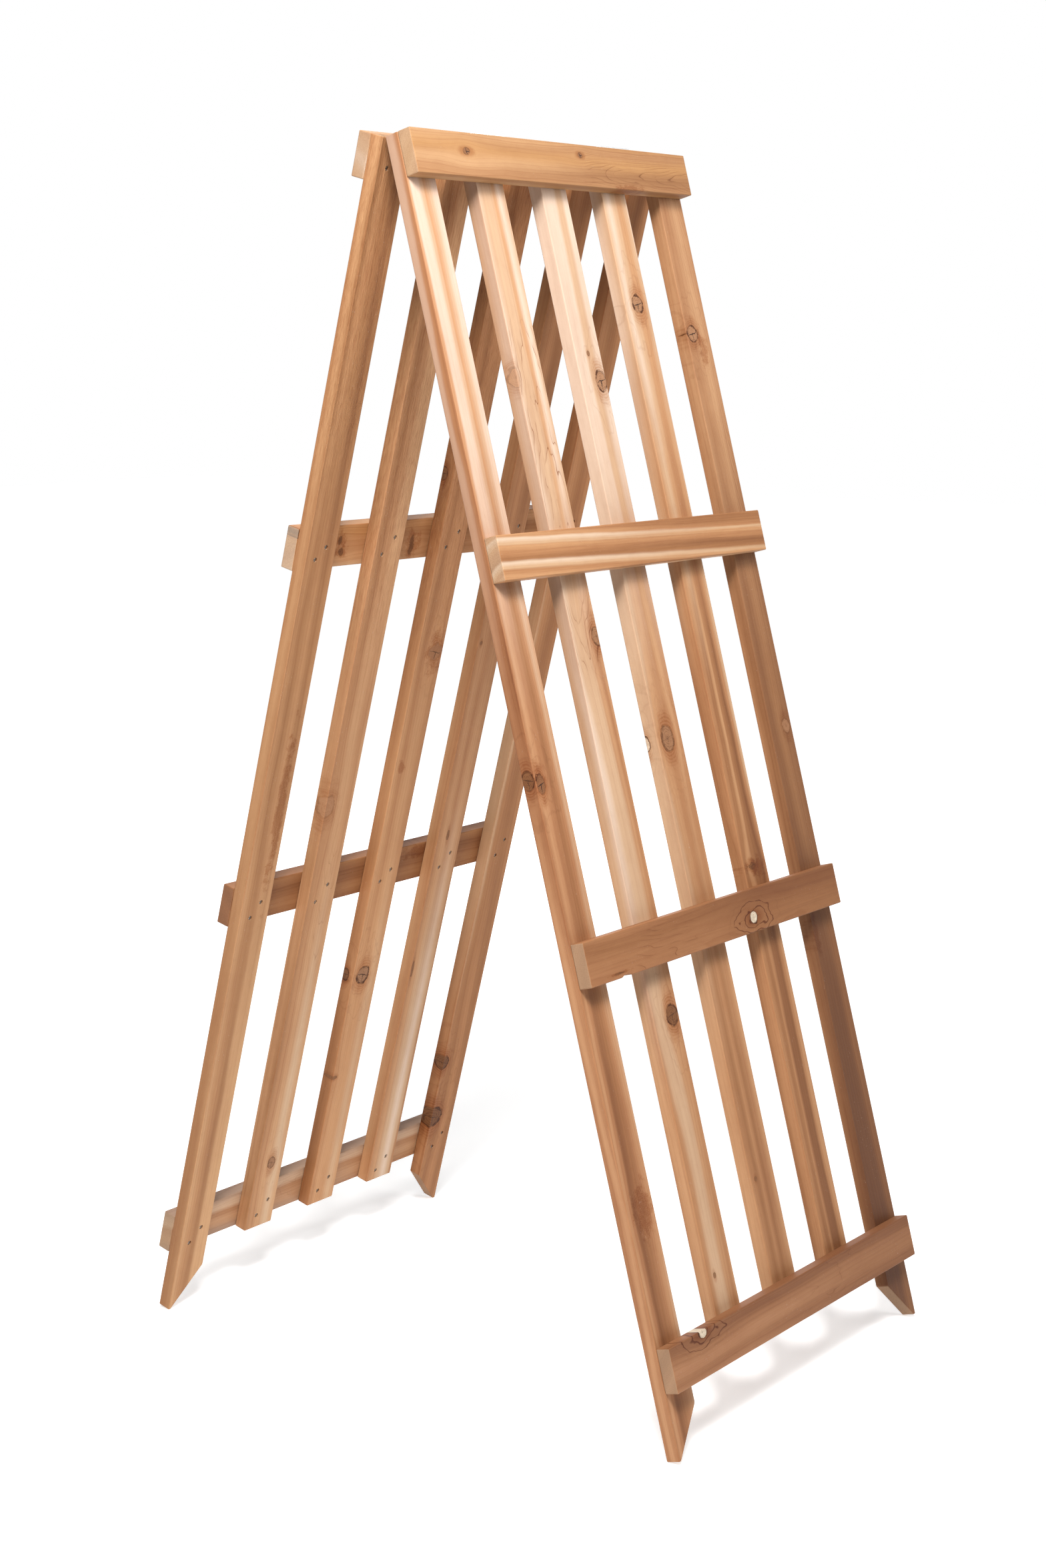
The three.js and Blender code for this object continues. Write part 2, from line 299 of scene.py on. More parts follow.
def make_knot_group():
    """Paints one knot: rings round it, its ringed middle, its dark rim and its cracks."""
    sockets = "Colour:c" + KNOT_SOCKETS + " ".join(KNOT_LOOKS)
    tree, entry, leave = new_group("cedar_knot", sockets, "Colour:c Pit")
    along, across, deep = knot_position(tree, entry)
    place = entry["Place"]
    wobble = tree.sway(place, (8, 8, 25), 0.17)
    ragged = tree.sway(place, (1.5, 1.5, 10.0), 0.08, detail=3.0)
    loose = tree.ramp(entry["Rim"], 0.0, 0.5, 3.5, 1.0)
    unevenness = tree.times(tree.plus(wobble, ragged), loose)
    x = tree.over(along, entry["Along"])
    y = tree.over(across, entry["Across"])
    z = tree.over(deep, entry["Depth"])
    radius = tree.plus(tree.vector("LENGTH", tree.joined(x, y, z), out=1), unevenness)

    stretched = tree.joined(tree.times(x, 0.48), y, z)
    bulge = tree.sway(place, (19, 11, 30), 1.2, detail=1.5)
    outline = tree.plus(tree.vector("LENGTH", stretched, out=1), bulge)
    step = tree.math("FRACT", tree.times(outline, 1.05))
    thin = tree.ramp(tree.size(tree.minus(step, 0.5)), 0.130, 0.040)
    fade = tree.times(tree.ramp(outline, 3.6, 2.2), tree.ramp(radius, 1.0, 1.25))
    broken = tree.ramp(tree.noise(place, (14, 5, 20)), 0.22, 0.36)
    lines = tree.times(thin, fade, tree.times(broken, entry["Lines"]))
    colour = tree.mix(lines, entry["Colour"], rgb(0.42, 0.28, 0.20), "MULTIPLY")

    wave = tree.math("SINE", tree.times(tree.math("POWER", radius, 0.8), 30.0))
    around = tree.vector("LENGTH", tree.joined(tree.times(x, 0.6), y, z), out=1)
    around = tree.plus(around, tree.times(unevenness, 2.2))
    halo = tree.times(tree.ramp(around, 1.9, 0.8), tree.ramp(wave, -0.6, 1.0, 0.6, 1.0))
    halo = tree.times(halo, entry["Halo"])
    colour = tree.mix(halo, colour, rgb(0.68, 0.50, 0.37), "MULTIPLY")

    rings = tree.ramp(tree.math("SINE", tree.times(radius, 27.0)), -0.9, 0.9)
    rings = tree.times(rings, tree.ramp(tree.noise(place, (3, 3, 30)), 0.25, 0.6))
    pith = tree.ramp(radius, 0.24, 0.08)
    warm = tree.mix(rings, rgb(0.480, 0.262, 0.140), rgb(0.350, 0.170, 0.085))
    brown = tree.mix(rings, rgb(0.155, 0.058, 0.020), rgb(0.095, 0.032, 0.010))
    middle = tree.mix(entry["Middle"], warm, brown)
    bleached = tree.times(entry["Middle"], -1.0, clamp=True)
    middle = tree.mix(bleached, middle, tree.mix(rings, rgb(0.66, 0.56, 0.43), rgb(0.40, 0.31, 0.22)))
    middle = tree.mix(tree.times(pith, 0.35), middle, rgb(0.090, 0.034, 0.014))
    inside = tree.times(tree.ramp(radius, 1.04, 0.90), entry["Fill"])
    colour = tree.mix(inside, colour, middle)

    off = tree.size(tree.minus(radius, 1.0))
    patchy = tree.ramp(tree.noise(place, (5, 5, 30)), 0.34, 0.56, 0.35, 1.0)
    thick = tree.sway(place, (7, 7, 30), 0.16)
    rim = tree.minus(tree.minus(off, 0.05), thick)
    rim = tree.times(tree.ramp(rim, 0.11, 0.0), patchy, entry["Rim"])
    colour = tree.mix(rim, colour, rgb(0.058, 0.016, 0.003))

    bend = tree.sway(place, (4, 4, 20), 1.3, detail=3.0)
    slanted = tree.plus(along, tree.times(across, 0.20))
    line = tree.size(tree.plus(slanted, bend))
    branch = tree.size(tree.plus(across, bend))
    branch = tree.plus(branch, tree.ramp(along, 0.0, -1.0, 0.0, 9.0))
    line = tree.math("MINIMUM", line, branch)
    width = tree.plus(tree.ramp(radius, 1.0, 0.0, 0.0, 0.30), 0.22)
    crack = tree.times(tree.math("LESS_THAN", line, width), tree.ramp(radius, 0.92, 0.80))
    crack = tree.times(crack, entry["Crack"])
    colour = tree.mix(crack, colour, rgb(0.030, 0.011, 0.005))
    tree.feed(leave["Colour"], colour)
    tree.feed(leave["Pit"], tree.math("MAXIMUM", crack, tree.times(rim, 0.5)))
    return tree.tree


def make_figure_group():
    """Thin dark arches, where a flat-sawn face cuts the growth rings at a slant."""
    sockets = "Colour:c Grain:v From To Middle Spacing Bend Strength"
    tree, entry, leave = new_group("cedar_figure", sockets, "Colour:c")
    x, y, z = tree.split(entry["Grain"])
    off = tree.minus(y, entry["Middle"])
    arch = tree.times(tree.math("POWER", off, 2.0), entry["Bend"])
    warp = tree.sway(entry["Grain"], (34, 9, 30), 0.9, detail=1.0)
    ripple = tree.sway(entry["Grain"], (7, 4, 30), 0.04)
    level = tree.over(tree.plus(x, arch), entry["Spacing"])
    level = tree.plus(level, tree.plus(warp, ripple))
    level = tree.plus(level, tree.times(z, 0.45))
    step = tree.math("FRACT", level)
    width = tree.over(0.9, entry["Spacing"])
    near = tree.size(tree.minus(step, 0.5))
    thin = tree.ramp(near, tree.times(width, 2.0), tree.times(width, 0.5))
    soft = tree.times(tree.ramp(step, 0.0, 0.5), 0.20)
    soft = tree.times(soft, tree.ramp(step, 0.62, 0.5))
    lo = tree.ramp(x, entry["From"], tree.plus(entry["From"], 25.0))
    hi = tree.ramp(x, entry["To"], tree.minus(entry["To"], 25.0))
    broken = tree.ramp(tree.noise(entry["Grain"], (30, 8, 30)), 0.38, 0.55, 0.15, 1.0)
    line = tree.times(tree.plus(thin, soft), tree.times(lo, hi))
    line = tree.times(line, broken, entry["Strength"])
    tree.feed(leave["Colour"], tree.mix(line, entry["Colour"], rgb(0.52, 0.38, 0.30), "MULTIPLY"))
    return tree.tree


# what the wood group gives out: the band of colour, then the detail that goes on it
GRAIN_PARTS = ("Band", "Ring", "Fibre", "Rough", "Mottle", "Tone", "Fleck")


def make_wood_group():
    """Turns a place in a board into its band, ring line, fibre and mottle."""
    sockets = "Grain:v Pith:v Facing Drift Warp Ring_Width Shift:v"
    tree, entry, leave = new_group("cedar_wood", sockets, " ".join(GRAIN_PARTS))
    grain = entry["Grain"]
    shifted = tree.vector("ADD", grain, entry["Shift"])
    x = tree.split(grain)[0]
    slice_only = (0, 1, 1)
    spot = tree.vector("MULTIPLY", grain, slice_only)
    pith = tree.vector("MULTIPLY", entry["Pith"], slice_only)
    distance = tree.vector("DISTANCE", spot, pith, out=1)
    radial = tree.minus(distance, tree.vector("LENGTH", pith, out=1))
    radial = tree.times(radial, entry["Facing"])
    radial = tree.plus(radial, tree.times(x, tree.times(entry["Drift"], 0.001)))
    broad = tree.sway(shifted, (190, 40, 40), 1.0, detail=1.5)
    radial = tree.plus(radial, tree.times(broad, entry["Warp"]))
    fine = tree.sway(shifted, (55, 9, 9), 0.8)
    radial = tree.plus(radial, fine)
    tree.feed(leave["Band"], tree.plus(tree.over(radial, BAND_SPAN), 0.5))

    spread = tree.sway(tree.joined(radial, 0.0, 0.0), (7, 1, 1), 1.4)
    counted = tree.plus(tree.over(radial, entry["Ring_Width"]), spread)
    in_ring = tree.math("FRACT", counted)
    late = tree.times(tree.math("POWER", in_ring, 4.0), tree.ramp(in_ring, 1.0, 0.88))
    which = tree.node("TexWhiteNoise", noise_dimensions="1D")
    tree.feed(which.inputs["W"], tree.math("FLOOR", counted))
    strength = tree.plus(tree.times(which.outputs["Value"], 0.8), 0.35)
    tree.feed(leave["Ring"], tree.times(late, 1.7, strength))

    long_fibre = tree.sway(shifted, (70.0, 0.60, 0.60), 1.0, detail=4.0, roughness=0.62)
    short_fibre = tree.sway(shifted, (9.0, 0.32, 0.32), 0.6)
    streaks = tree.sway(shifted, (210, 2, 2), 1.3, detail=3.0, roughness=0.55)
    tree.feed(leave["Fibre"], tree.plus(long_fibre, short_fibre, streaks))
    saw = tree.sway(shifted, (11.0, 1.1, 1.1), 1.0, detail=3.0, roughness=0.62, distortion=0.5)
    tree.feed(leave["Rough"], saw)
    mottle = tree.sway(shifted, (16, 8, 8), 1.0, detail=3.0, roughness=0.6, distortion=0.6)
    tree.feed(leave["Mottle"], mottle)
    tree.feed(leave["Tone"], tree.sway(shifted, (150, 20, 20), 1.0, detail=2.5))
    specks = tree.noise(shifted, (2.2, 0.9, 0.9), detail=1.0)
    rare = tree.ramp(tree.noise(shifted, (40, 14, 14), detail=1.0), 0.50, 0.66)
    tree.feed(leave["Fleck"], tree.times(tree.ramp(specks, 0.70, 0.76), rare))
    return tree.tree


def make_finish_group():
    """Puts the grain's detail into a band colour."""
    sockets = " ".join(("Colour:c", *GRAIN_PARTS[1:], "Ring_Strength Fibre_Strength Rough_Strength"))
    tree, entry, leave = new_group("cedar_finish", sockets, "Colour:c")
    redder = rgb(0.66, 0.50, 0.42)
    paler = rgb(1.22, 1.27, 1.32)
    grey = tree.node("RGBToBW")
    tree.feed(grey.inputs[0], entry["Colour"])
    depth = tree.ramp(grey.outputs[0], 0.14, 0.42, 1.0, 0.38)
    ring = tree.times(entry["Ring"], entry["Ring_Strength"])
    ring = tree.times(ring, depth, clamp=True)
    colour = tree.mix(ring, entry["Colour"], redder, "MULTIPLY")
    fibre = tree.times(entry["Fibre"], entry["Fibre_Strength"], depth)
    rough = tree.times(entry["Rough"], entry["Rough_Strength"])
    for swing, amount in ((fibre, 1.0), (rough, 1.0), (entry["Mottle"], 0.17), (entry["Tone"], 0.42)):
        darker = tree.times(swing, -amount, clamp=True)
        lighter = tree.times(swing, amount, clamp=True)
        colour = tree.mix(darker, colour, redder, "MULTIPLY")
        colour = tree.mix(lighter, colour, paler, "MULTIPLY")
    colour = tree.mix(tree.times(entry["Fleck"], 0.35), colour, rgb(0.46, 0.36, 0.28))
    tree.feed(leave["Colour"], colour)
    return tree.tree


FLOW_GROUP = make_flow_group()
KNOT_GROUP = make_knot_group()
WOOD_GROUP = make_wood_group()
FINISH_GROUP = make_finish_group()
FIGURE_GROUP = make_figure_group()


def new_material(name):
    material = bpy.data.materials.new(name)
    material.use_nodes = True
    material.node_tree.nodes.clear()
    return material, Tree(material.node_tree)


def finish_material(tree, colour, roughness, height, strength, distance, **fixed):
    """Joins up the shader: a bump of `height`, and `fixed` values on its own sockets."""
    bump = tree.node("Bump")
    bump.inputs["Strength"].default_value = strength
    bump.inputs["Distance"].default_value = distance
    tree.feed(bump.inputs["Height"], height)
    shader = tree.node("BsdfPrincipled")
    for socket, value in fixed.items():
        shader.inputs[socket.replace("_", " ")].default_value = value
    for socket, value in (("Base Color", colour), ("Roughness", roughness), ("Normal", bump.outputs[0])):
        tree.feed(shader.inputs[socket], value)
    tree.feed(tree.node("OutputMaterial").inputs["Surface"], shader.outputs[0])


def band_ramp(tree, value, bands):
    """A colour ramp from (place across in mm, tone) pairs."""
    made = tree.node("ValToRGB")
    tree.feed(made.inputs[0], value)
    ramp = made.color_ramp
    ramp.interpolation = "EASE"
    while len(ramp.elements) < len(bands):
        ramp.elements.new(0.5)
    for element, (place, tone) in zip(ramp.elements, sorted(bands)):
        element.position = min(1.0, max(0.0, place / BAND_SPAN + 0.5))
        element.color = rgb(*TONES[tone])
    return made.outputs[0]


def cedar(name, wood):
    """The material of one board, from its bands (partly painted light and shade along it), pith and
    knots.
    """
    material, tree = new_material("cedar_" + name)
    place = tree.node("Attribute", attribute_name="place").outputs["Vector"]
    end = tree.node("Attribute", attribute_name="end_grain").outputs["Fac"]
    edge = tree.node("Attribute", attribute_name="long_edge").outputs["Fac"]
    seed = random.Random(name)
    shift = Vector([seed.uniform(-5000, 5000) for _ in range(3)])

    grain = place
    for _, flow, shape in wood["knots"]:
        grain = tree.group(FLOW_GROUP, Grain=grain, Place=place, Reach=flow, **shape)["Grain"]
    parts = tree.group(
        WOOD_GROUP,
        Grain=grain,
        Pith=Vector((0.0, *wood["pith"])),
        Facing=1.0 if wood["pith"][0] < 0 else -1.0,
        Drift=wood["drift"],
        Warp=wood["warp"],
        Ring_Width=wood["ring_width"],
        Shift=shift,
    )
    along = tree.split(place)[0]
    blotches = tree.sway(tree.vector("ADD", place, shift), (45, 10, 10), 26.0)
    wandering = tree.plus(along, blotches)
    # The tones from station to station are partly the wood's own and partly painted light and shade: on
    # the front slats paler and creamier towards the lit top ends, as a painted highlight, and darker
    # lower down; on the back slats mostly lighter towards the bottom.
    stations = wood["stations"]
    colour = band_ramp(tree, parts["Band"], stations[0][1])
    for (before, _), (at, bands) in zip(stations, stations[1:]):
        reached = tree.ramp(wandering, before, at)
        colour = tree.mix(reached, colour, band_ramp(tree, parts["Band"], bands))
    rough_strength = 0.0
    if wood["rough_to"]:
        rough_strength = tree.ramp(along, wood["rough_to"], wood["rough_to"] - 260.0, 0.10, 1.1)
    colour = tree.group(
        FINISH_GROUP,
        Colour=colour,
        **{part: parts[part] for part in GRAIN_PARTS[1:]},
        Ring_Strength=wood["rings"],
        Fibre_Strength=wood["fibre"],
        Rough_Strength=rough_strength,
    )["Colour"]
    colour = tree.mix(1.0, colour, rgb(*wood["tint"]), "MULTIPLY")
    # painted shade: the long edge faces of the slats are made darker than the faces beside them; on the
    # front slats it fades out towards the bottom
    worn_and_edge_shade = tree.times(edge, wood["edge"])
    if wood["edge_to"]:
        worn_and_edge_shade = tree.times(worn_and_edge_shade, tree.ramp(along, wood["edge_to"] - 260.0, wood["edge_to"], 1.0, 0.0))
    colour = tree.mix(worn_and_edge_shade, colour, rgb(0.60, 0.48, 0.40), "MULTIPLY")
    for figure in wood["figures"]:
        figured = tree.group(FIGURE_GROUP, Colour=colour, Grain=grain, **figure)["Colour"]
        colour = tree.mix(tree.times(edge, 0.8), figured, colour)
    pits = []
    for kind, _, shape in wood["knots"]:
        looks = dict(zip(KNOT_LOOKS, KNOT_KINDS[kind]))
        painted = tree.group(KNOT_GROUP, Colour=colour, Place=place, **shape, **looks)
        colour = painted["Colour"]
        pits.append(painted["Pit"])

    pores = tree.noise(tree.vector("ADD", place, shift), (2.0, 0.5, 0.5), detail=3.0)
    end_tone = tree.mix(tree.ramp(pores, 0.35, 0.62), rgb(0.78, 0.76, 0.73), rgb(0.92, 0.93, 0.94))
    sawn = tree.mix(0.55, colour, rgb(0.43, 0.285, 0.180))
    sawn = tree.mix(1.0, sawn, rgb(*wood["end_tint"]), "MULTIPLY")
    colour = tree.mix(end, colour, tree.mix(1.0, sawn, end_tone, "MULTIPLY"))

    height = tree.times(parts["Fibre"], 0.5)
    height = tree.plus(height, tree.times(parts["Rough"], tree.times(rough_strength, 3.0)))
    height = tree.minus(height, tree.times(parts["Ring"], 0.35))
    for pit in pits:
        height = tree.minus(height, tree.times(pit, 1.5))
    height = tree.plus(height, tree.times(pores, end, 1.2))
    gloss = tree.plus(tree.times(parts["Fibre"], 0.06), 0.56)
    gloss = tree.plus(gloss, tree.times(end, 0.28), clamp=True)
    finish_material(tree, colour, gloss, height, 0.5, 0.00012, Specular_IOR_Level=0.16)
    return material


# --- what each board's wood looks like; the tones down a slat are partly its own and partly painted light and shade ---

def knot(kind, x, y, z, along, across, lean=90.0, flow=1.0, depth=70.0):
    """A knot whose axis passes a point of the board, leaning from across (0) to outward (90)."""
    angle = math.radians(lean)
    shape = {
        "Centre": Vector((x, y, z)),
        "Sideways": Vector((0.0, math.sin(angle), -math.cos(angle))),
        "Axis": Vector((0.0, math.cos(angle), math.sin(angle))),
        "Along": along,
        "Across": across,
        "Depth": depth,
    }
    return kind, flow, shape


def on_face(kind, u, v, along, across, **more):
    """A knot on a front slat's outer face: u down from the top and v from its left edge."""
    return knot(kind, u, v - HALF_WIDTH, HALF_DEPTH, along, across, **more)


def on_inner(kind, u, v, along, across, **more):
    """A knot on a slat's inner face: u down from the top and v from the left as seen inside."""
    return knot(kind, u, HALF_WIDTH - v, -HALF_DEPTH, along, across, **more)


def on_rail(kind, u, v, along, across, **more):
    """A knot on a rail's outer face: u from its left end and v down from its top edge."""
    return knot(kind, u, HALF_WIDTH - v, HALF_DEPTH, along, across, **more)


def on_rail_inner(kind, u, v, along, across, **more):
    """A knot on a rail's inner face: u from the left as seen inside, v down from the top."""
    return knot(kind, PANEL_WIDTH - u, HALF_WIDTH - v, -HALF_DEPTH, along, across, **more)


def figure(start, to, middle, spacing, bend, strength):
    """Arched lines between two places along a board, around a middle line across it."""
    lines = {"Middle": middle, "Spacing": spacing, "Bend": bend, "Strength": strength}
    return {"From": start, "To": to, **lines}


def read_bands(text, left):
    """(place, tone) pairs from "0 tan 4 light": millimetres from the left or the right edge."""
    words = text.split()
    sign = 1 if left else -1
    return [(sign * (float(v) - HALF_WIDTH), tone) for v, tone in zip(words[::2], words[1::2])]


def from_left(*stations):
    """Bands of a front slat by distance from its left edge, at places down its length."""
    return [(x, read_bands(text, left=True)) for x, text in stations]


def from_right(*stations):
    """Bands by distance from a slat's right edge or from a rail's top, at places along it."""
    return [(x, read_bands(text, left=False)) for x, text in stations]


PLAIN_WOOD = {
    "pith": (-70, 30),
    "drift": 0.0,
    "warp": 2.2,
    "rings": 0.42,
    "fibre": 0.30,
    "ring_width": 3.2,
    "rough_to": 0.0,
    "tint": (1, 1, 1),
    "end_tint": (1, 1, 1),
    # edge: how strongly painted shade darkens the long edges; edge_to: where on a front slat it has faded
    # out
    "edge": 0.0,
    "edge_to": 0.0,
}


WOODS = {}


def wood(name, stations, knots=(), figures=(), **looks):
    """Notes a board's wood. Its pith is (across, outward) from the board's middle."""
    WOODS[name] = {**PLAIN_WOOD, **looks, "stations": stations, "knots": knots, "figures": figures}


wood(
    "front_slat_1",
    from_left(
        (190, "-14 honey -3 honey 0 honey 3 cream 11 cream 16 light 19 honey "
              "24 light 30 cream 38 cream"),
        (520, "-14 medium -3 brown 1 tan 5 honey 10 tan 18 medium 24 tan 29 light 34 honey 38 tan"),
        (860, "-14 tan -6 honey 0 tan 3 honey 6 tan 11 brown 18 medium 24 tan "
              "30 honey 34 light 38 tan"),
    ),
    [
        knot("dark", 540, -HALF_WIDTH, -0.5, 8, 6, lean=15, depth=11),
        on_face("rough", 545, 7, 8, 5, depth=9),
        on_face("smudge", 905, 22, 9, 8),
    ],
    pith=(-60, 30), tint=(0.98, 0.95, 0.97), edge=0.85, edge_to=740,
)
wood(
    "front_slat_2",
    from_left(
        (190, "0 light 8 cream 16 light 22 light 26 honey 31 cream 38 light"),
        (520, "0 honey 6 light 13 cream 20 light 27 light 31 honey 35 tan 38 honey"),
        (860, "0 tan 6 honey 13 tan 19 light 24 light 29 honey 34 tan 38 honey"),
    ),
    [
        on_face("ringed", 432, 35, 8, 7, flow=1.8),
        on_face("dark", 762, 28, 9, 8, flow=1.6),
        on_face("pin", 985, 10, 2.5, 2),
        on_face("faint", 205, 0, 8, 3, depth=10),
    ],
    [
        figure(150, 345, 3, spacing=58, bend=-0.35, strength=1.3),
        figure(385, 470, 2, spacing=24, bend=0.25, strength=0.8),
    ],
    pith=(-46, -38), rings=0.4, tint=(1.00, 1.00, 1.02), edge=0.75, edge_to=700,
)
wood(
    "front_slat_3",
    from_left(
        (190, "0 cream 18 cream 23 light 27 light 33 cream 38 cream"),
        (520, "0 light 6 light 12 honey 20 tan 27 honey 33 tan 38 honey"),
        (860, "0 honey 5 tan 12 medium 18 tan 24 medium 30 tan 38 honey"),
    ),
    [
        on_face("cracked", 210, 30, 9, 7.5),
        on_face("pin", 185, 19, 2.4, 2),
        on_face("ringed", 530, 16, 11, 9, flow=1.3),
        on_face("pin", 925, 8, 2.2, 2),
        knot("light", 532, -HALF_WIDTH, -HALF_DEPTH, 7, 4.5, lean=0, depth=9),
    ],
    pith=(-80, -22), rings=0.2, tint=(0.98, 0.98, 1.00), edge=0.20, edge_to=740,
)
wood(
    "front_slat_4",
    from_left(
        (160, "0 light 8 cream 15 light 20 honey 24 honey 29 light 34 cream 38 light"),
        (330, "0 honey 8 light 15 honey 20 tan 24 tan 29 honey 34 light 38 honey"),
        (520, "0 tan 9 medium 13 honey 16 medium 22 brown 27 tan 31 light 35 honey 38 tan"),
        (860, "0 tan 8 medium 11 tan 15 brown 23 brown 27 tan 30 honey 35 tan 38 medium"),
    ),
    [
        on_face("cracked", 140, 21, 8, 8),
        on_face("stain", 660, 13, 3, 7, depth=20),
        on_face("smudge", 662, 25, 4, 7),
    ],
    pith=(-64, 34), tint=(0.97, 0.96, 0.96), edge=0.40, edge_to=740,
)
wood(
    "front_slat_5",
    from_left(
        (160, "0 tan 8 honey 15 tan 26 honey 38 tan"),
        (520, "0 tan 6 medium 14 brown 24 medium 38 brown"),
        (860, "0 medium 4 brown 12 dark 25 dark 32 brown 38 brown"),
    ),
    [
        on_face("cracked", 167, 10, 7.5, 8),
        on_face("smudge", 182, 23, 6, 5),
        on_face("faint", 543, 28, 7, 6),
        on_face("smudge", 740, 5, 8, 3),
    ],
    [figure(30, 420, 27, spacing=22, bend=0.25, strength=0.5)],
    pith=(-44, -30), rings=0.4, tint=(0.93, 0.96, 1.00), edge=0.35, edge_to=740,
)
wood(
    "front_top_rail",
    from_right((60, "0 golden 6 tan 10 honey 20 golden 26 honey 31 tan 38 golden"),
               (330, "0 tan 7 golden 15 tan 22 golden 30 medium 38 tan")),
    [
        on_rail("rough", 70, 16.5, 4.5, 3.2, flow=2.0),
        on_rail("rough", 235, 10, 3.5, 2.6, flow=1.6),
        on_rail("smudge", 305, 38, 8, 3),
    ],
    [figure(225, 560, -6, spacing=30, bend=-0.75, strength=0.75)],
    pith=(-34, 46), rings=0.55, ring_width=2.2, fibre=0.32, tint=(0.92, 0.97, 0.96),
)
wood(
    "front_upper_rail",
    from_right((60, "-6 tan 1 tan 5 honey 7 cream 11 light 13 honey 18 tan 23 medium "
                    "26 cream 29 light 32 tan 36 honey 41 tan"),
               (370, "-6 medium 2 medium 6 tan 8 light 10 honey 14 tan 19 brown 24 medium "
                     "27 light 29 honey 33 medium 37 tan 41 medium")),
    pith=(-52, 26), drift=22.5, warp=1.2, rings=0.38, ring_width=2.4, tint=(0.97, 0.95, 0.91),
)
wood(
    "front_lower_rail",
    from_right((70, "0 brown 5 medium 14 tan 22 medium 31 tan 38 brown"),
               (300, "0 dark 4 brown 12 medium 20 brown 30 medium 38 brown")),
    [on_rail("pale", 255, 25, 6, 5.5, flow=2.0), on_rail("stain", 41, 33.5, 8, 0.9, depth=6)],
    [figure(60, 170, -22, spacing=60, bend=0.28, strength=0.8)],
    pith=(-18, 60), rings=0.5, tint=(0.90, 0.87, 0.87),
)
wood(
    "front_bottom_rail",
    from_right((60, "0 medium 12 brown 18 medium 25 tan 31 medium 38 tan"),
               (330, "0 brown 12 brown 20 medium 26 medium 38 brown")),
    [on_rail("pale", 50, 1.5, 6, 5, flow=1.8)],
    [figure(200, 330, 4, spacing=60, bend=0.25, strength=0.4)],
    pith=(-40, 40), rings=0.4, tint=(0.99, 1.00, 1.10),
)
wood(
    "back_slat_5",
    from_right((100, "-5 honey -1 tan 3 honey 8 medium 14 tan 22 medium 30 brown 38 medium"),
               (520, "-5 honey -1 tan 3 honey 9 tan 16 medium 24 tan 31 medium 38 tan"),
               (900, "-5 honey -1 tan 3 tan 8 honey 14 tan 21 medium 27 honey 38 honey")),
    [on_inner("smudge", 600, 28, 30, 4)],
    pith=(60, 30), rough_to=430, fibre=0.3, tint=(1.17, 1.26, 1.30), edge=0.60,
)
wood(
    "back_slat_4",
    from_right((300, "0 tan 6 medium 14 tan 22 honey 38 honey"),
               (600, "0 tan 6 tan 14 honey 26 tan 32 honey 38 tan"),
               (900, "0 medium 6 tan 14 honey 22 light 30 honey 38 tan")),
    [on_inner("faint", 607, 2, 10, 8, lean=50, depth=14), on_inner("ringed", 985, 21, 6, 5)],
    [figure(640, 800, -6, spacing=30, bend=0.5, strength=0.3)],
    pith=(50, -36), rough_to=560, tint=(1.15, 1.22, 1.28), edge=0.10,
)
wood(
    "back_slat_3",
    from_right((300, "0 medium 8 tan 14 medium 22 tan 38 tan"),
               (600, "0 tan 8 honey 14 tan 24 honey 38 tan"),
               (950, "0 medium 5 tan 12 honey 20 honey 29 light 38 honey")),
    [
        on_inner("worn_and_edge_shade", 468, 27, 8, 9),
        on_inner("cracked", 801, 15, 9, 8, lean=75),
        knot("dark", 801, HALF_WIDTH, 3.0, 6, 4, lean=0, depth=8),
        knot("dark", 296, HALF_WIDTH, 4.0, 6, 4, lean=0, depth=6),
        on_inner("smudge", 583, 10, 3, 3),
        on_inner("pin", 911, 1, 2, 5, depth=12),
    ],
    pith=(66, 24), rough_to=560, tint=(1.15, 1.15, 1.12), edge=0.50,
)
wood(
    "back_slat_2",
    from_right((300, "0 medium 12 tan 24 medium 38 tan"),
               (600, "0 tan 8 honey 14 tan 24 honey 38 tan"),
               (900, "0 tan 6 honey 12 light 22 cream 29 light 34 tan 38 honey")),
    [
        on_inner("pin", 668, 16, 5, 2),
        on_inner("pin", 812, 3, 8, 1.5),
        on_inner("pin", 466, 5, 2, 2),
    ],
    pith=(58, -28), tint=(1.08, 1.08, 1.08), edge=0.15,
)
wood(
    "back_slat_1",
    from_right((300, "0 medium 12 tan 24 medium 38 tan"),
               (600, "0 light 9 light 12 tan 24 medium 38 tan"),
               (950, "0 medium 6 tan 14 medium 22 tan 30 medium 38 tan")),
    [
        on_inner("dark", 940, -1, 8, 9, lean=90, depth=12),
        on_inner("dark", 1005, 2, 11, 13, lean=80, depth=16),
    ],
    pith=(52, 32), tint=(1.17, 1.15, 1.10), edge=0.50,
)
wood(
    "back_top_rail",
    from_right((60, "0 tan 12 honey 22 light 31 honey 38 tan"),
               (350, "0 honey 12 light 22 cream 31 light 38 honey")),
    [on_rail("ringed", 150, 22, 7, 5, depth=7)],
    pith=(-58, 26), tint=(0.96, 0.98, 1.00), end_tint=(0.91, 0.87, 0.85),
)
wood(
    "back_upper_rail",
    from_right((100, "0 tan 10 honey 20 medium 28 tan 38 tan"),
               (350, "0 honey 12 golden 22 tan 30 honey 38 light")),
    [
        on_rail_inner("stain", 58, 14, 3, 5),
        on_rail_inner("stain", 61, 24, 4, 4),
        on_rail_inner("stain", 160, 24, 4, 9),
        knot("dark", PANEL_WIDTH, HALF_WIDTH - 4, -2, 6, 4, lean=90, depth=20),
    ],
    pith=(-50, -32), rings=0.6, fibre=0.34, tint=(1.05, 1.02, 0.97),
    end_tint=(1.13, 1.28, 1.50),
)
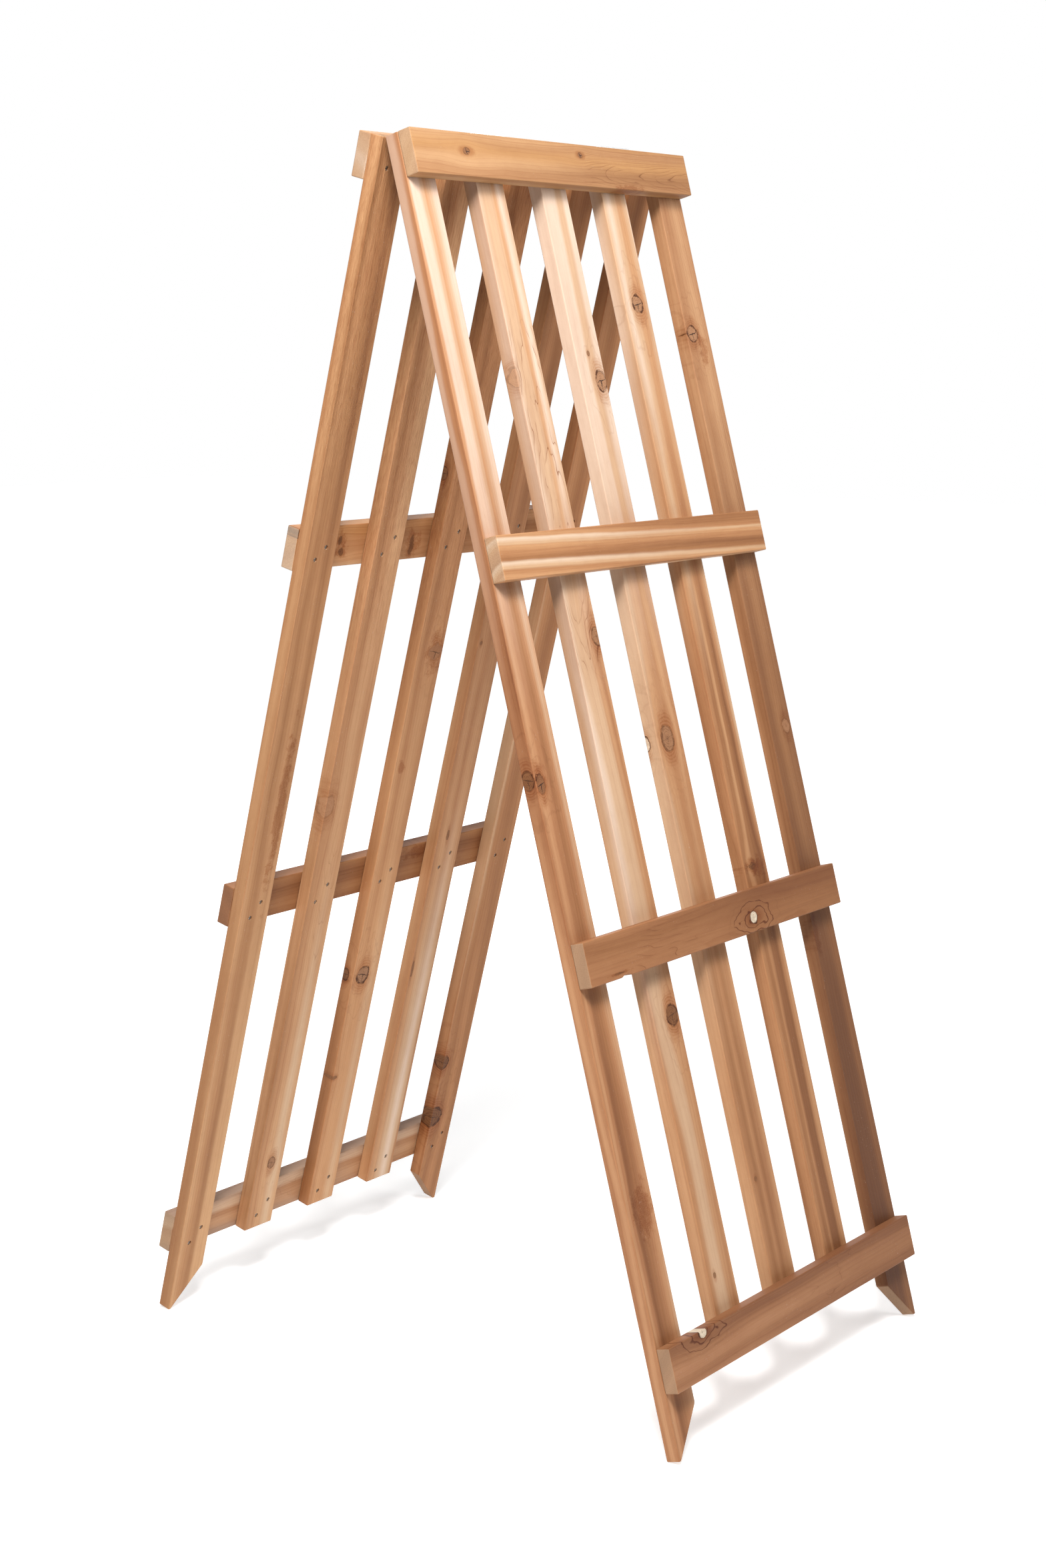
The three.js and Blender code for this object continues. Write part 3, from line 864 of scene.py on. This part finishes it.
wood(
    "back_lower_rail",
    from_right((60, "0 medium 10 brown 20 medium 30 brown 38 medium"),
               (350, "0 medium 10 brown 20 medium 30 brown 38 medium")),
    [on_rail_inner("smudge", 270, 8, 9, 5), on_rail("ringed", 90, 20, 8, 6, depth=7)],
    pith=(-46, 38), tint=(1.14, 1.15, 1.16), end_tint=(0.72, 0.55, 0.47),
)
wood(
    "back_bottom_rail",
    from_right((60, "0 grey 10 light 17 tan 26 honey 38 tan"),
               (350, "0 grey 10 light 17 tan 26 honey 38 grey")),
    [on_rail("cracked", 230, 18, 8, 6, depth=7)],
    pith=(-70, -20), tint=(1.05, 1.10, 1.20),
)

# --- meshes ---

# a small piece broken out of one rail's lower edge
CHIPPED_BOARD = "front_lower_rail"
CHIP = ((43.5, 0.0), (46.0, 1.3), (49.0, 2.1), (51.5, 1.7), (54.0, 2.3), (56.5, 1.2), (58.0, 0.0))


def in_scene(thing):
    bpy.context.scene.collection.objects.link(thing)
    return thing


def to_mesh(work, name):
    mesh = bpy.data.meshes.new(name)
    work.to_mesh(mesh)
    work.free()
    return mesh


def turned_mesh(name, profile, sides=20):
    """A closed turned piece along +X, from profile points of (radius, x)."""
    work = bmesh.new()
    rings = []
    for radius, x in profile:
        if radius == 0:
            rings.append([work.verts.new((x, 0, 0))])
            continue
        corners = [2 * math.pi * k / sides for k in range(sides)]
        rings.append([work.verts.new((x, radius * math.cos(t), radius * math.sin(t))) for t in corners])
    for near, far in zip(rings, rings[1:]):
        for k in range(sides):
            after = (k + 1) % sides
            corners = ((near, k), (near, after), (far, after), (far, k))
            work.faces.new(list(dict.fromkeys(ring[place % len(ring)] for ring, place in corners)))
    bmesh.ops.recalc_face_normals(work, faces=work.faces)
    return to_mesh(work, name)


def screw_hole_profile(screw, surface):
    """The room that a screw takes: its head's top is `sink` past the surface it is driven into."""
    head = surface + screw["sink"]
    shank = screw["shank"] + FACE_GAP
    wide = screw["head"] + FACE_GAP
    end = head + screw["length"]
    return [
        (0, surface - 3),
        (wide, surface - 3),
        (wide, head + FACE_GAP),
        (shank, head + screw["head_height"] + FACE_GAP),
        (shank, end - 2 * screw["shank"] + FACE_GAP),
        (0, end + FACE_GAP),
    ]


def board_outline(name):
    """A board's outline in its own X-Y plane."""
    low, high = -HALF_WIDTH, HALF_WIDTH
    heel = LEG_LENGTH - FOOT_CUT
    if name.endswith("slat_1"):
        far = [(LEG_LENGTH, low), (LEG_LENGTH, low + FOOT_TIP), (heel, high)]
    elif name.endswith("slat_5"):
        far = [(heel, low), (LEG_LENGTH, high - FOOT_TIP), (LEG_LENGTH, high)]
    else:
        length = PANEL_WIDTH if "rail" in name else SLAT_LENGTH
        far = [(length, low), (length, high)]
    chip = [(x, low + y) for x, y in CHIP] if name == CHIPPED_BOARD else []
    return [(0, low), *chip, *far, (0, high)]


def lengthwise(edge):
    """How nearly an edge runs along the board: 1 along it and 0 straight across."""
    return abs((edge.verts[0].co - edge.verts[1].co).normalized().x)


def eased_board(name):
    """A board with its long edges and its sawn ends eased."""
    work = bmesh.new()
    bottom = [work.verts.new((x, y, -HALF_DEPTH)) for x, y in board_outline(name)]
    top = [work.verts.new((x, y, HALF_DEPTH)) for x, y in board_outline(name)]
    work.faces.new(bottom[::-1])
    work.faces.new(top)
    for k in range(len(top)):
        after = (k + 1) % len(top)
        work.faces.new((bottom[k], bottom[after], top[after], top[k]))
    bmesh.ops.recalc_face_normals(work, faces=work.faces)
    long_edges = [e for e in work.edges if lengthwise(e) > 0.99]
    bmesh.ops.bevel(work, geom=long_edges, offset=LONG_EDGE, segments=4, profile=0.5, affect="EDGES")
    corners = [e for e in work.edges if len(e.link_faces) == 2 and e.calc_face_angle(0) > 0.6]
    ends = [e for e in corners if lengthwise(e) < 0.8]
    bmesh.ops.bevel(work, geom=ends, offset=END_EDGE, segments=2, profile=0.5, affect="EDGES")
    return to_mesh(work, name)


def cut_away(mesh, tools):
    """The mesh without the tools' volume, by an exact boolean."""
    work = bmesh.new()
    for tool in tools:
        work.from_mesh(tool)
    board = in_scene(bpy.data.objects.new("board_to_cut", mesh))
    cutter = in_scene(bpy.data.objects.new("tools", to_mesh(work, "tools")))
    boolean = board.modifiers.new("cut", "BOOLEAN")
    boolean.operation = "DIFFERENCE"
    boolean.solver = "EXACT"
    boolean.use_self = True
    boolean.object = cutter
    bpy.context.view_layer.update()
    graph = bpy.context.evaluated_depsgraph_get()
    result = bpy.data.meshes.new_from_object(board.evaluated_get(graph))
    for thing in (board, cutter):
        bpy.data.objects.remove(thing)
    return result


def moved(mesh, matrix):
    copy = mesh.copy()
    copy.transform(matrix)
    return copy


def add_piece(name, mesh, matrix, side, nodes=()):
    """Puts a mesh that has its material in its place, riding on its side's panel."""
    piece = in_scene(bpy.data.objects.new(name, mesh))
    piece.matrix_world = matrix
    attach(piece, side + "_panel")
    if nodes:
        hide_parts(*nodes)


# --- screws' places ---

shake = random.Random(7)


def crossing_screws():
    """Every screw where a slat crosses a rail: which boards, and its place on the slat."""
    made = []
    for side in ("front", "back"):
        for rail in range(len(RAIL_NAMES)):
            for number in range(1, SLAT_COUNT + 1):
                corner = rail in (0, len(RAIL_NAMES) - 1) and number in (1, SLAT_COUNT)
                for place, sign in (("upper", 1), ("lower", -1)):
                    slip = (0.0, 0.0) if corner else (shake.uniform(-2.2, 2.2), shake.uniform(-1.6, 1.6))
                    down = rail * RAIL_PITCH + HALF_WIDTH - sign * SCREW_OFFSET + slip[0]
                    across = -sign * SCREW_OFFSET + slip[1]
                    where = {"side": side, "rail": rail, "slat": number, "corner": corner}
                    made.append({**where, "place": place, "down": down, "across": across})
    return made


CROSSINGS = crossing_screws()
QUARTER = math.radians(90)
INWARD_TO_OUTWARD = Matrix.Rotation(-QUARTER, 4, "Y")
DOWN_RAIL = Matrix.Rotation(-QUARTER, 4, "Z")


def slat_tools(side, number):
    tools = []
    hole = turned_mesh("hole", screw_hole_profile(WOOD_SCREW, -HALF_DEPTH))
    for screw in CROSSINGS:
        if screw["side"] == side and screw["slat"] == number:
            spot = Matrix.Translation((screw["down"], screw["across"], 0))
            tools.append(moved(hole, spot @ INWARD_TO_OUTWARD))
    if number in HINGE_SLATS.values():
        tools.append(turned_mesh("hole", screw_hole_profile(HINGE_SCREW, LEAF_TOP - HINGE_RISE)))
    return tools


def rail_tools(side, rail):
    tools = []
    hole = turned_mesh("hole", screw_hole_profile(WOOD_SCREW, -HALF_DEPTH - BOARD_DEPTH - FACE_GAP))
    for screw in CROSSINGS:
        if screw["side"] == side and screw["rail"] == rail:
            along = (screw["slat"] - 1) * SLAT_PITCH + HALF_WIDTH + screw["across"]
            up = rail * RAIL_PITCH + HALF_WIDTH - screw["down"]
            tools.append(moved(hole, Matrix.Translation((along, up, 0)) @ INWARD_TO_OUTWARD))
    if rail == 0:
        hinge_hole = turned_mesh("hole", screw_hole_profile(HINGE_SCREW, LEAF_TOP - HINGE_RISE))
        for number in HINGE_SLATS.values():
            for offset in (HINGE_SCREW_SPOTS[0], HINGE_SCREW_SPOTS[-1]):
                along = (number - 1) * SLAT_PITCH + HALF_WIDTH + offset
                top = Matrix.Translation((along, HALF_WIDTH, 0))
                tools.append(moved(hinge_hole, top @ DOWN_RAIL))
    return tools


def share_facing(part_of_normal):
    """0 for a face that hardly looks along an axis, and 1 for one that looks well along it."""
    return min(1.0, max(0.0, (abs(part_of_normal) - 0.4) / 0.3))


def finish_board(mesh):
    """Stores each point's place in the board, and whether a face is end grain or a long edge."""
    place = mesh.attributes.new("place", "FLOAT_VECTOR", "POINT")
    for vertex, item in zip(mesh.vertices, place.data):
        item.vector = vertex.co
    end = mesh.attributes.new("end_grain", "FLOAT", "FACE")
    edge = mesh.attributes.new("long_edge", "FLOAT", "FACE")
    for polygon, end_item, edge_item in zip(mesh.polygons, end.data, edge.data):
        end_item.value = share_facing(polygon.normal.x)
        edge_item.value = share_facing(polygon.normal.y)


def build_boards():
    for side in ("front", "back"):
        boards = []
        for number in range(1, SLAT_COUNT + 1):
            matrix, tools = slat_matrix(side, number), slat_tools(side, number)
            boards.append((f"{side}_slat_{number}", matrix, tools, "cedar_slat"))
        for rail, rail_name in enumerate(RAIL_NAMES):
            matrix, tools = rail_matrix(side, rail), rail_tools(side, rail)
            boards.append((f"{side}_{rail_name}", matrix, tools, "cedar_rail"))
        for name, matrix, tools, slot in boards:
            mesh = cut_away(eased_board(name), tools)
            finish_board(mesh)
            mesh.materials.append(cedar(name, WOODS[name]))
            mesh.transform(matrix @ Matrix.Scale(MM, 4))
            add_piece(name + "_cedar", mesh, Matrix.Identity(4), side, [name])


build_boards()

# --- metal ---


def metal(name, colour, roughness, lump):
    """A dull plated metal, clouded in lumps of so many millimetres."""
    material, tree = new_material(name)
    spot = tree.scaled(tree.node("NewGeometry").outputs["Position"], 1 / MM)
    cloud = tree.noise(spot, (lump, lump, lump), detail=3.0)
    dull = rgb(*(channel * 0.7 for channel in colour))
    tone = tree.mix(tree.ramp(cloud, 0.35, 0.65), dull, rgb(*colour))
    gloss = tree.ramp(cloud, 0.3, 0.7, roughness + 0.15, roughness - 0.05)
    finish_material(tree, tone, gloss, tree.noise(spot, (0.4, 0.4, 0.4)), 0.25, 0.00005, Metallic=1.0)
    return material


zinc = metal("zinc_plate", (0.60, 0.61, 0.62), 0.34, 6.0)
screw_steel = metal("screw_steel", (0.50, 0.49, 0.47), 0.38, 1.5)


def screw_mesh(name, screw, recess):
    """A countersunk screw along +X with its head's top at x = 0, a driver recess and a thread."""
    end = screw["length"]
    tip = end - 2 * screw["shank"]
    root = screw["shank"] * 0.72
    neck = screw["head_height"]
    profile = [(0, 0), (screw["head"] - 0.15, 0), (screw["head"], 0.12), (screw["shank"], neck)]
    smooth_to = neck + 0.25 * (end - neck)
    profile.append((screw["shank"], smooth_to))
    pitch = 0.95
    x = smooth_to
    while x + pitch < tip:
        profile += [(root, x + 0.25 * pitch), (root, x + 0.6 * pitch), (screw["shank"], x + 0.85 * pitch)]
        x += pitch
    profile += [(root, tip), (0, end)]
    body = turned_mesh(name, profile, sides=24)
    return cut_away(body, recess)


def block(length, width, depth):
    work = bmesh.new()
    bmesh.ops.create_cube(work, size=1.0)
    bmesh.ops.scale(work, vec=(depth, width, length), verts=work.verts)
    return to_mesh(work, "block")


wood_screw = screw_mesh("wood_screw", WOOD_SCREW, [block(1.3, 1.3, 1.6)])
cross = [moved(block(3.6, 0.8, 2.2), Matrix.Rotation(turn, 4, "X")) for turn in (0, QUARTER)]
hinge_screw = screw_mesh("hinge_screw", HINGE_SCREW, cross)
for mesh in (wood_screw, hinge_screw):
    mesh.transform(Matrix.Scale(MM, 4))
    mesh.materials.append(screw_steel)


def build_crossing_screws():
    names = {0: "top", len(RAIL_NAMES) - 1: "bottom"}
    for screw in CROSSINGS:
        side, rail, number = screw["side"], screw["rail"], screw["slat"]
        nodes = []
        if screw["corner"]:
            edge = "left" if number == 1 else "right"
            nodes = [f"{side}_{names[rail]}_{edge}_{screw['place']}_screw"]
        head = Vector((screw["down"], screw["across"], -HALF_DEPTH + WOOD_SCREW["sink"])) * MM
        turn = Matrix.Rotation(shake.uniform(0, QUARTER), 4, "X")
        matrix = slat_matrix(side, number) @ Matrix.Translation(head) @ INWARD_TO_OUTWARD @ turn
        name = f"{side}_{RAIL_NAMES[rail]}_slat_{number}_{screw['place']}_screw_steel"
        add_piece(name, wood_screw, matrix, side, nodes)


build_crossing_screws()


def build_hinge_screws():
    """The hinge leaves and pins stay as they are in the solids; their screws get a cross recess."""
    for side in ("front", "back"):
        across, down, outward = panel_axes(side)
        for label, number in HINGE_SLATS.items():
            seen_label = label if side == "front" else {"left": "right", "right": "left"}[label]
            for k, offset in enumerate(HINGE_SCREW_SPOTS, 1):
                node = f"{seen_label}_hinge_{side}_screw_{k}"
                low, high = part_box(node)
                middle = (low + high) / 2
                depth = HINGE_SCREW["length"] / 2
                origin = middle - down * depth * MM
                turn = Matrix.Rotation(shake.uniform(0, QUARTER), 4, "X")
                mesh = moved(hinge_screw, placed(down, across, outward, origin) @ turn)
                add_piece(node + "_steel", mesh, Matrix.Identity(4), side, [node])


build_hinge_screws()
for name, node in frame["nodes"].items():
    if "leaf" in name or "pin" in name:
        node.data.materials.clear()
        node.data.materials.append(zinc)

# --- camera, light and floor ---

EYE = Vector((-1847.2, -1369.4, 900.9)) * MM
VIEW = [math.radians(angle) for angle in (80.346, 0.190, -53.2405)]
LENS = 58.32
SENSOR = 36.0

camera = in_scene(bpy.data.objects.new("camera", bpy.data.cameras.new("camera")))
camera.location = EYE
camera.rotation_euler = Euler(VIEW, "XYZ")
camera.data.lens = LENS
camera.data.sensor_width = SENSOR
bpy.context.scene.camera = camera


def area_light(name, place, target, size, watts):
    lamp = bpy.data.lights.new(name, "AREA")
    lamp.shape = "SQUARE"
    lamp.size = size
    lamp.energy = watts
    made = in_scene(bpy.data.objects.new(name, lamp))
    made.location = place
    made.rotation_euler = (Vector(target) - Vector(place)).to_track_quat("-Z", "Y").to_euler()


area_light("key", (-1.2, -0.9, 2.2), (0, 0, 0.8), 0.6, 63)
area_light("key_side", (-1.5, -0.5, 2.0), (0, 0, 0.9), 0.8, 20)
area_light("near_top", (0.55, -0.9, 1.5), (0, -0.05, 0.95), 0.5, 7)
area_light("back_fill", (1.5, 1.9, 1.7), (0, 0, 0.6), 2.0, 20)

# a white room behind the object; the lamps and the floor light it
world = bpy.data.worlds.new("studio")
world.use_nodes = True
world.node_tree.nodes["Background"].inputs["Color"].default_value = (1, 1, 1, 1)
world.node_tree.nodes["Background"].inputs["Strength"].default_value = 1.0
bpy.context.scene.world = world
world.cycles_visibility.diffuse = False

FLOOR_SPAN = 12.0
FLOOR_WHITE = 0.9


def floor_plane(name, height, near_glow, far_glow):
    """A plain white floor, with one glow near the object and one far from it."""
    mesh = bpy.data.meshes.new(name)
    corners = [(x * FLOOR_SPAN, y * FLOOR_SPAN, height) for x, y in ((-1, -1), (1, -1), (1, 1), (-1, 1))]
    mesh.from_pydata(corners, [], [(0, 1, 2, 3)])
    made = in_scene(bpy.data.objects.new(name, mesh))
    paper = bpy.data.materials.new(name + "_paper")
    paper.use_nodes = True
    tree = Tree(paper.node_tree)
    shader = paper.node_tree.nodes["Principled BSDF"]
    shader.inputs["Base Color"].default_value = rgb(FLOOR_WHITE, FLOOR_WHITE, FLOOR_WHITE)
    shader.inputs["Roughness"].default_value = 0.9
    shader.inputs["Specular IOR Level"].default_value = 0.1
    shader.inputs["Emission Color"].default_value = (1, 1, 1, 1)
    away = tree.vector("LENGTH", tree.node("NewGeometry").outputs["Position"], out=1)
    tree.feed(shader.inputs["Emission Strength"], tree.ramp(away, 0.5, 2.6, near_glow, far_glow))
    mesh.materials.append(paper)
    return made


floor = floor_plane("floor", -0.0002, 0.56, 0.985)
floor.visible_diffuse = False
floor.visible_shadow = False
bounce = floor_plane("floor_bounce", -0.0030, 0.42, 0.42)
bounce.visible_camera = False
bounce.visible_glossy = False

bpy.context.scene.view_settings.view_transform = "Standard"
